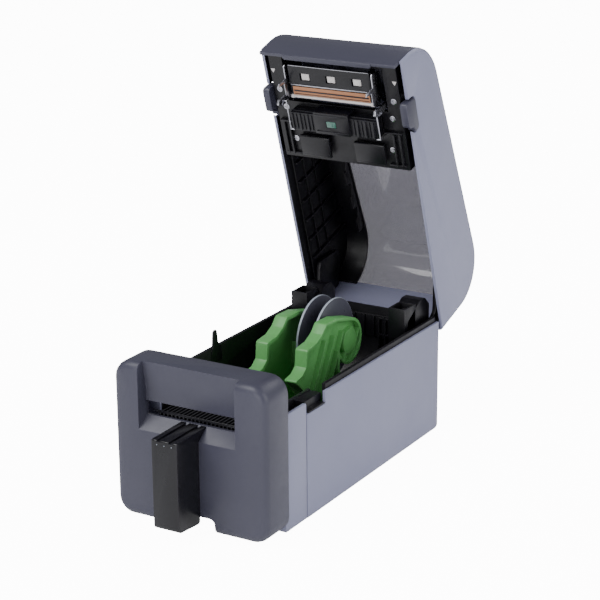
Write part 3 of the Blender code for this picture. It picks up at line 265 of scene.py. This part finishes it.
# %% [markdown]
# ## The finishes
# One maker's function builds every opaque finish. It mixes two close tones by the drift, adds
# the rubbed tone on the edges, spreads the roughness between two limits by the smudges, and
# feeds the grain to a bump. What is the same all over, such as coat or metallic, sits on the
# shader itself.


# %% The finish maker
noise_low, noise_high = 0.3, 0.7
mix_first, mix_second, mix_result = 6, 7, 2


def ranged(tree, value, low, high):
    """Spreads a noise, most of which lies near its middle, between two limits."""
    node = tree.nodes.new("ShaderNodeMapRange")
    tree.links.new(value, node.inputs["Value"])
    node.inputs["From Min"].default_value = noise_low
    node.inputs["From Max"].default_value = noise_high
    node.inputs["To Min"].default_value = low
    node.inputs["To Max"].default_value = high
    return node.outputs["Result"]


def mixed(tree, factor, first, second):
    """Mixes two colours, each of them a tuple or the output of another node."""
    node = tree.nodes.new("ShaderNodeMix")
    node.data_type = "RGBA"
    tree.links.new(factor, node.inputs["Factor"])
    for index, value in ((mix_first, first), (mix_second, second)):
        if isinstance(value, tuple):
            node.inputs[index].default_value = value
        else:
            tree.links.new(value, node.inputs[index])
    return node.outputs[mix_result]


def finish(name, tone, other_tone, rubbed, rough, grain_scale=2600, bump=0.12, depth=0.00012,
           stretch=(1, 1, 1), edge=0.0006, drift_scale=14, **constants):
    material = bpy.data.materials.new(name)
    material.use_nodes = True
    tree = material.node_tree
    shader = tree.nodes["Principled BSDF"]
    place = tree.nodes.new("ShaderNodeTexCoord")
    mapping = tree.nodes.new("ShaderNodeMapping")
    mapping.inputs["Scale"].default_value = stretch
    tree.links.new(place.outputs["Object"], mapping.inputs["Vector"])
    grains = tree.nodes.new("ShaderNodeGroup")
    grains.node_tree = grain
    grains.inputs["Grain Scale"].default_value = grain_scale
    grains.inputs["Drift Scale"].default_value = drift_scale
    tree.links.new(mapping.outputs["Vector"], grains.inputs["Vector"])
    wear = tree.nodes.new("ShaderNodeGroup")
    wear.node_tree = edges
    wear.inputs["Width"].default_value = edge
    tree.links.new(place.outputs["Object"], wear.inputs["Vector"])
    body = mixed(tree, ranged(tree, grains.outputs["Drift"], 0, 1), tone, other_tone)
    tree.links.new(mixed(tree, wear.outputs["Mask"], body, rubbed), shader.inputs["Base Color"])
    gloss = ranged(tree, grains.outputs["Smudge"], rough[0], rough[1])
    tree.links.new(gloss, shader.inputs["Roughness"])
    relief = tree.nodes.new("ShaderNodeBump")
    relief.inputs["Strength"].default_value = bump
    relief.inputs["Distance"].default_value = depth
    tree.links.new(grains.outputs["Height"], relief.inputs["Height"])
    tree.links.new(relief.outputs["Normal"], shader.inputs["Normal"])
    for key, value in constants.items():
        shader.inputs[key.replace("_", " ").title()].default_value = value
    return material


light_cover = finish(
    "light_cover", screen(148, 150, 175), screen(143, 145, 171), screen(180, 182, 200),
    (0.40, 0.50),
)
dark_cover = finish(
    "dark_cover", screen(69, 69, 84), screen(64, 64, 79), screen(108, 108, 124), (0.36, 0.46),
    bump=0.2,
)
black_frame = finish(
    "black_frame", screen(10, 8, 15), screen(7, 6, 12), screen(58, 56, 70), (0.30, 0.48),
    2200, 0.16,
)
gloss_black = finish(
    "gloss_black", screen(12, 11, 18), screen(9, 8, 15), screen(58, 56, 72), (0.26, 0.36),
    2600, 0.08,
)
leaf_green = finish(
    "leaf_green", screen(104, 178, 100), screen(94, 168, 92), screen(160, 216, 150), (0.30, 0.42),
    1800, 0.06,
)
disc_plastic = finish(
    "disc_plastic", screen(84, 84, 96), screen(76, 76, 88), screen(176, 180, 190), (0.26, 0.38),
    2200, 0.06,
)
disc_rim = finish(
    "disc_rim", screen(176, 184, 196), screen(168, 176, 190), screen(210, 214, 222), (0.3, 0.4),
)
soft_rubber = finish(
    "soft_rubber", screen(38, 38, 42), screen(32, 32, 36), screen(62, 62, 66), (0.7, 0.85),
    900, 0.3,
)
steel = finish(
    "steel", screen(200, 200, 206), screen(184, 184, 192), screen(226, 226, 230), (0.16, 0.32),
    900, 0.1, stretch=(0.08, 1, 1), metallic=1.0,
)
copper = finish(
    "copper", screen(196, 142, 104), screen(178, 122, 88), screen(226, 190, 160), (0.22, 0.34),
    900, 0.08, stretch=(0.1, 1, 1), metallic=0.35,
)
ceramic = finish(
    "ceramic", screen(226, 222, 220), screen(214, 208, 206), screen(240, 238, 236), (0.14, 0.24),
    1400, 0.04,
)
acetal = finish(
    "acetal", screen(222, 222, 214), screen(212, 212, 204), screen(236, 236, 230), (0.4, 0.5),
    1600, 0.08,
)
board = finish(
    "board", screen(24, 76, 48), screen(20, 66, 42), screen(70, 120, 90), (0.3, 0.45), 1200, 0.1,
)
print("finishes:", len(bpy.data.materials))


# %% Clear and lit finishes
def clear_finish(name, tone, other_tone, alpha, rough):
    """A see-through moulding: its tone drifts, and faint smudges change its gloss."""
    material = finish(
        name, tone, other_tone, tone, rough, 300, 0.03, 0.0001, edge=0.0003, drift_scale=9,
    )
    shader = material.node_tree.nodes["Principled BSDF"]
    shader.inputs["Alpha"].default_value = alpha
    shader.inputs["Coat Weight"].default_value = 0.6
    shader.inputs["Coat Roughness"].default_value = 0.05
    return material


smoked = clear_finish(
    "smoked_window", screen(112, 107, 128), screen(104, 99, 120), 0.68, (0.08, 0.16),
)
sensor_glass = clear_finish(
    "sensor_glass", screen(74, 118, 104), screen(60, 104, 94), 1.0, (0.08, 0.14),
)
lamp_lens = clear_finish(
    "lamp_lens", screen(120, 190, 140), screen(110, 180, 132), 1.0, (0.12, 0.2),
)
print("clear finishes ready")

# %% [markdown]
# ## Softened copies of the moulded solids
# A moulded cover never has a knife edge. Each solid that shows is copied, its loose triangles
# are merged back into clean faces, its sharp edges get a small round, and it is shaded smooth.
# The copy then stands for the solid, which stays behind for the simulation. Small or hidden
# solids keep their own shape and only change their finish.


# %% The softener
same_point = 0.01 * mm
same_plane = math.radians(0.6)


def only(obj):
    deselect()
    obj.select_set(True)
    bpy.context.view_layer.objects.active = obj


def apply_all(obj):
    only(obj)
    for modifier in list(obj.modifiers):
        bpy.ops.object.modifier_apply(modifier=modifier.name)


def soft_edges(obj, width, angle=32, segments=2):
    if width > 0:
        bevel = obj.modifiers.new("round", "BEVEL")
        bevel.width = width
        bevel.segments = segments
        bevel.limit_method = "ANGLE"
        bevel.angle_limit = math.radians(angle)
        bevel.use_clamp_overlap = True
        bevel.harden_normals = False
    apply_all(obj)
    only(obj)
    bpy.ops.object.shade_smooth_by_angle(angle=math.radians(angle))
    return obj


def softened(node, material, width=0.35 * mm, angle=32, segments=2):
    source = frame["nodes"][node]
    copy = source.copy()
    copy.data = source.data.copy()
    copy.name = node + "_finished"
    copy.parent = None
    for key in list(copy.keys()):
        del copy[key]
    bpy.context.scene.collection.objects.link(copy)
    only(copy)
    bpy.ops.object.mode_set(mode="EDIT")
    bpy.ops.mesh.select_all(action="SELECT")
    bpy.ops.mesh.remove_doubles(threshold=same_point)
    bpy.ops.mesh.dissolve_limited(angle_limit=same_plane)
    bpy.ops.mesh.normals_make_consistent(inside=False)
    bpy.ops.object.mode_set(mode="OBJECT")
    bpy.ops.mesh.customdata_custom_splitnormals_clear()
    soft_edges(copy, width, angle, segments)
    copy.data.materials.clear()
    copy.data.materials.append(material)
    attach(copy, source["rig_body"])
    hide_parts(node)
    return copy


softened_nodes = {
    "side_cover": (light_cover, 0.5), "front_cover": (light_cover, 0.45),
    "lid_shell": (light_cover, 0.5), "lid_front_panel": (dark_cover, 0.5),
    "peeler_cover": (dark_cover, 0.7), "sensor_block": (gloss_black, 0.8),
    "lid_liner": (black_frame, 0.3), "roll_tub": (black_frame, 0.4),
    "head_carrier": (black_frame, 0.4), "mechanism_frame": (black_frame, 0.3),
    "media_sensor": (gloss_black, 0.3), "head_bracket": (gloss_black, 0.3),
    "hinge_tower_left": (black_frame, 0.5), "hinge_tower_right": (black_frame, 0.5),
    "lid_arm_left": (black_frame, 0.4), "lid_arm_right": (black_frame, 0.4),
    "release_lever_left": (dark_cover, 0.6), "release_lever_right": (dark_cover, 0.6),
    "outlet_guide": (gloss_black, 0.25), "paper_flap_left": (gloss_black, 0.25),
    "paper_flap_right": (gloss_black, 0.25), "left_guide": (leaf_green, 0.35),
    "right_guide": (leaf_green, 0.35), "left_disc": (disc_plastic, 0.3),
    "right_disc": (disc_plastic, 0.3), "lid_window": (smoked, 0.0),
    "rear_grille": (black_frame, 0.2), "latch_hook_left": (steel, 0.2),
    "latch_hook_right": (steel, 0.2), "platen_rubber": (soft_rubber, 0.4),
    "power_button": (dark_cover, 0.4), "feed_button": (dark_cover, 0.4),
    "foot_1": (soft_rubber, 0.4), "foot_2": (soft_rubber, 0.4),
    "foot_3": (soft_rubber, 0.4), "foot_4": (soft_rubber, 0.4),
}
finished = {}
for node, (material, width) in softened_nodes.items():
    finished[node] = softened(node, material, width * mm)
face_count = sum(len(copy.data.polygons) for copy in finished.values())
print("softened:", len(finished), "solids,", face_count, "faces")

# %% Finishes for the solids that stay
plain_nodes = {
    steel: [
        "hinge_pin_left", "hinge_pin_right", "data_port", "peel_bar", "platen_shaft", "idler_post",
        "drive_motor", "peeler_arm", "pinion_post", "heat_sink", "latch_shaft",
    ],
    copper: ["thermal_head"],
    acetal: [
        "platen_bushing_left", "platen_bushing_right", "platen_gear", "idler_gear", "motor_pinion",
        "guide_pinion",
    ],
    soft_rubber: ["pinch_roller"],
    board: ["main_board"],
    lamp_lens: ["status_lens"],
    black_frame: ["base_plate", "dc_jack"],
}
for material, names in plain_nodes.items():
    for name in names:
        mesh = frame["nodes"][name].data
        mesh.materials.clear()
        mesh.materials.append(material)
print("repainted:", sum(len(names) for names in plain_nodes.values()))

# %% [markdown]
# ## Small parts
# The rest is made here and has no solid of its own: wire clips, screw heads, ribs, lips and the
# marks on the head's carrier. Each piece is joined from rounded bars, pins and cut plates, and
# rides the body that it is fixed to. Whatever sits in the lid is laid out with the lid shut, and
# is turned open as it is joined.


# %% Bars, pins and plates
def bar(low, high, width=0.2, segments=2):
    """A bar between two corners, in millimetres, with rounded edges."""
    deselect()
    bpy.ops.mesh.primitive_cube_add(size=1, location=[(a + b) / 2 * mm for a, b in zip(low, high)])
    obj = bpy.context.object
    obj.scale = [(b - a) * mm for a, b in zip(low, high)]
    bpy.ops.object.transform_apply(location=True, rotation=True, scale=True)
    bpy.ops.object.mode_set(mode="EDIT")
    bpy.ops.mesh.select_all(action="SELECT")
    bpy.ops.mesh.bevel(offset=width * mm, segments=segments, affect="EDGES")
    bpy.ops.object.mode_set(mode="OBJECT")
    return obj


def pin(middle, radius, length, axis, width=0.15, sides=24):
    """A round pin along an axis, in millimetres, with rounded ends."""
    deselect()
    turn = {"X": (0, math.pi / 2, 0), "Y": (math.pi / 2, 0, 0), "Z": (0, 0, 0)}[axis]
    bpy.ops.mesh.primitive_cylinder_add(
        vertices=sides, radius=radius * mm, depth=length * mm,
        location=[value * mm for value in middle], rotation=turn,
    )
    obj = bpy.context.object
    bpy.ops.object.transform_apply(location=True, rotation=True, scale=True)
    return soft_edges(obj, width * mm)


def plate(outline, low_x, high_x, width=0.15):
    """A flat plate cut to an outline of Y and Z between two places along X, in millimetres."""
    deselect()
    bpy.ops.mesh.primitive_circle_add(vertices=len(outline), radius=1, fill_type="NOTHING")
    obj = bpy.context.object
    for vertex, (y, z) in zip(obj.data.vertices, outline):
        vertex.co = (low_x * mm, y * mm, z * mm)
    bpy.ops.object.mode_set(mode="EDIT")
    bpy.ops.mesh.select_all(action="SELECT")
    bpy.ops.mesh.edge_face_add()
    bpy.ops.mesh.extrude_region_move(
        TRANSFORM_OT_translate={"value": ((high_x - low_x) * mm, 0, 0)}
    )
    bpy.ops.mesh.select_all(action="SELECT")
    bpy.ops.mesh.normals_make_consistent(inside=False)
    bpy.ops.object.mode_set(mode="OBJECT")
    return soft_edges(obj, width * mm)


small_parts = []


def joined(name, parts, material, beside, shut=False):
    """Joins the parts into one piece that rides the same body as the node named beside."""
    only(parts[0])
    for part in parts:
        part.select_set(True)
    if len(parts) > 1:
        bpy.ops.object.join()
    obj = bpy.context.object
    obj.name = name
    obj.data.name = name
    if shut:
        obj.data.transform(lid_open)
    obj.data.materials.clear()
    obj.data.materials.append(material)
    only(obj)
    bpy.ops.object.shade_smooth_by_angle(angle=math.radians(32))
    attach(obj, frame["nodes"][beside]["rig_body"])
    small_parts.append(obj)
    return obj


def mirrored(low, high):
    """The same box on both sides of the machine."""
    other = ((-high[0], low[1], low[2]), (-low[0], high[1], high[2]))
    return [(low, high), other]


print("tools ready")

# %% Print head
cheek = [
    (-102.5, 74.4), (-101.5, 73.2), (-93.2, 73.0), (-93.2, 64), (-91.2, 63), (-90.6, 66),
    (-90.2, 70.5), (-81, 70.5), (-78, 74), (-75, 84), (-70.5, 90), (-70.5, 95.3), (-76.5, 95.3),
    (-80, 86), (-100, 84),
]
joined("head_cheeks", [
    plate(cheek, 33.4, 34.2), plate(cheek, -34.2, -33.4),
], steel, "head_bracket", True)
joined("head_front_edge", [
    bar((-31, -102.8, 74.5), (31, -102.3, 75.4), 0.15),
    bar((-31, -88.4, 74.3), (31, -87.6, 74.9), 0.15),
], steel, "head_bracket", True)
# Small white ceramic boxes in the three windows of the head bracket: painted highlights that stand
# for the glints there, not real pads.
joined("head_painted_glints", [
    bar((x - 3, -96.8, 75.3), (x + 3, -91.8, 76.3), 0.3) for x in (-19, 1, 21)
], ceramic, "head_bracket", True)
joined("head_burn_line", [
    bar((-29, -84.2, 73.95), (29, -83.2, 74.4), 0.12),
    bar((-29, -81.6, 74.0), (29, -81.2, 74.4), 0.08),
], gloss_black, "head_bracket", True)
joined("head_chrome_bar", [
    pin((0, -78.9, 75.2), 1.1, 63, "X", 0.3), pin((-31, -78.9, 75.2), 1.6, 2, "X", 0.3),
    pin((31, -78.9, 75.2), 1.6, 2, "X", 0.3),
], ceramic, "head_bracket", True)
print("head parts:", [part.name for part in small_parts])


# %% Wire clips, screws and marks on the carrier
def screw_head(x, y, z):
    head = pin((x, y, z), 2.3, 1.0, "Z", 0.25, 32)
    for half_x, half_y in ((1.5, 0.3), (0.3, 1.5)):
        cross = bar((x - half_x, y - half_y, z - 1.0), (x + half_x, y + half_y, z - 0.1), 0.05, 1)
        cut = head.modifiers.new("cross", "BOOLEAN")
        cut.operation = "DIFFERENCE"
        cut.solver = "EXACT"
        cut.object = cross
        apply_all(head)
        bpy.data.objects.remove(cross, do_unlink=True)
    return head


wires = []
for side in (-1, 1):
    x = side * 34.9
    wires.append(pin((x, -65.5, 70.9), 0.5, 22, "Y", 0.2, 12))
    wires.append(pin((x, -76.4, 75.6), 0.5, 10, "Z", 0.2, 12))
    wires.append(pin((x, -54.6, 75.6), 0.5, 10, "Z", 0.2, 12))
    wires.append(pin((x - side * 1.2, -54.6, 70.9), 0.5, 3.4, "X", 0.2, 12))
    wires.append(pin((x + side * 1.2, -76.4, 70.9), 0.5, 3.4, "X", 0.2, 12))
joined("sensor_wire_clips", wires, steel, "head_carrier", True)
screw_places = ((38, -42), (41.4, -66.7), (44.4, -80))
joined("carrier_screws", [
    screw_head(side * x, y, 80.0) for side in (-1, 1) for x, y in screw_places
], steel, "head_carrier", True)
joined("carrier_marks", [
    pin((x, -94.5, 79.9), 2.0, 0.5, "Z", 0.08, 3) for x in (-47, 47)
], ceramic, "head_carrier", True)
rib_places = (-29, -23, -17, 16, 22, 28)
ribs = [bar((x - 0.35, -67.2, 70.3), (x + 0.35, -55.4, 71.3), 0.15) for x in rib_places]
ribs += [bar((-13, y, 68.55), (12, y + 0.6, 69.2), 0.15) for y in (-69.6, -57.2)]
ribs += [bar((-33.4, -69.0, 72.6), (33.4, -68.0, 73.6), 0.2)]
joined("sensor_ribs", ribs, gloss_black, "media_sensor", True)
joined("sensor_eye", [
    bar((-4.6, -64.9, 68.9), (2.6, -60.4, 69.8), 0.3), pin((-1, -62.6, 68.9), 1.5, 0.6, "Z", 0.15),
], sensor_glass, "media_sensor", True)
steps = []
for low, high in (
    ((34.6, -56.8, 77.6), (47.5, -55.6, 80.2)), ((40.2, -55, 77.8), (41.6, -30, 80.2)),
    ((44.6, -57, 78.2), (45.8, -30, 80.2)), ((34.6, -31.2, 78.4), (47, -30, 80.2)),
):
    steps += [bar(*corners, 0.25) for corners in mirrored(low, high)]
joined("carrier_ribs", steps, black_frame, "head_carrier", True)
print("carrier parts:", len(small_parts))


# %% Inside of the lid
front, length = -110.5, 216.5
front_height, rear_height = 122.8, 149.1


def roof(y):
    """The height of the lid's top over a place along Y, in millimetres, with the lid shut."""
    return front_height + (y - front) * (rear_height - front_height) / length


ridge = [(-21, roof(-21) - 3.6), (68, roof(68) - 3.6)]
for number in range(8):
    y = 68 - number * 11
    drop = 8.5 if number % 2 else 12.5
    ridge += [(y, roof(y) - drop), (y - 9.5, roof(y) - drop + 0.5)]
joined("lid_ridges", [
    plate(ridge, 34.3, 35.9, 0.3), plate(ridge, -35.9, -34.3, 0.3),
], black_frame, "lid_liner", True)
ribs = []
for y in (-14, 2, 18, 34, 50, 66):
    for low, high in mirrored((48.9, y, 90), (51.0, y + 1.3, roof(y) - 6)):
        ribs.append(bar(low, high, 0.3))
rails = mirrored((49.4, -16, 99), (51.0, 66, 100.4))
rails += mirrored((49.6, -16, 112), (51.0, 66, 113.2))
for low, high in rails:
    ribs.append(bar(low, high, 0.3))
joined("lid_wall_ribs", ribs, black_frame, "lid_liner", True)
joined("slot_lip", [
    bar((-34, -110.3, 73.9), (34, -107.4, 75.3), 0.5, 3),
    bar((-33, -107.8, 74.2), (33, -106.6, 76.5), 0.3),
], dark_cover, "lid_front_panel", True)
print("lid parts:", len(small_parts))

# %% Tub, slot and chute
finger = [
    (-34.5, 72), (-21, 72), (-21, 82), (-25.5, 85), (-27, 94.5), (-28.2, 95.8), (-30.6, 95.8),
    (-31.8, 94.5), (-32.6, 85), (-34.5, 82),
]
joined("tub_finger", [plate(finger, -50.7, -49.4, 0.3)], black_frame, "roll_tub")
caps = []
for low, high in (
    ((33, 66, 76), (46, 67.4, 98)), ((33, 81.6, 76), (46, 83, 98)),
    ((33, 66.4, 76), (34.4, 82.6, 98)), ((44.6, 66.4, 76), (46, 82.6, 98)),
    ((33.6, 66.6, 88), (45.6, 82.4, 89.4)),
):
    caps += [bar(*corners, 0.35) for corners in mirrored(low, high)]
joined("tower_boxes", caps, black_frame, "roll_tub")
rib_places = (-28, -22, -16, 8, 13, 18, 23, 28)
ribs = [bar((x, 97.2, 34), (x + 1.2, 101.5, 77), 0.25) for x in rib_places]
ribs += [bar((8, 97.2, z), (29.2, 101.5, z + 1.2), 0.25) for z in (50, 64, 76)]
joined("tub_rear_ribs", ribs, black_frame, "roll_tub")
joined("slot_wire", [
    pin((-1.8, -125.0, 73.0), 0.3, 68, "X", 0.1, 12),
    bar((-34, -125.6, 71.7), (30.4, -124.4, 72.5), 0.2),
], gloss_black, "outlet_guide")
joined("chute_dots", [
    pin((x, -162.5, 67.2), 0.32, 0.4, "Y", 0.08, 16) for x in (-7.2, -1.8, 3.6)
], disc_rim, "sensor_block")
print("small parts:", len(small_parts))

# %% Black inside of the lid's side walls
shell = finished["lid_shell"].data
shell.materials.append(black_frame)
inner_face = 52.95 * mm
for polygon in shell.polygons:
    if abs(polygon.center.x) < inner_face and abs(polygon.normal.x) > 0.9:
        polygon.material_index = 1
print("faces made black:", sum(polygon.material_index for polygon in shell.polygons))

# %% Rims of the roll discs
rim_from = 27.9 * mm
for name in ("left_disc", "right_disc"):
    mesh = finished[name].data
    mesh.materials.append(disc_rim)
    joint = next(j for j in frame["joints"] if j["name"] == name.replace("disc", "disc_spin"))
    centre = Vector(joint["pos_m"])
    for polygon in mesh.polygons:
        offset = polygon.center - centre
        if math.hypot(offset.y, offset.z) > rim_from:
            polygon.material_index = 1
    print("rim faces:", name, sum(polygon.material_index for polygon in mesh.polygons))
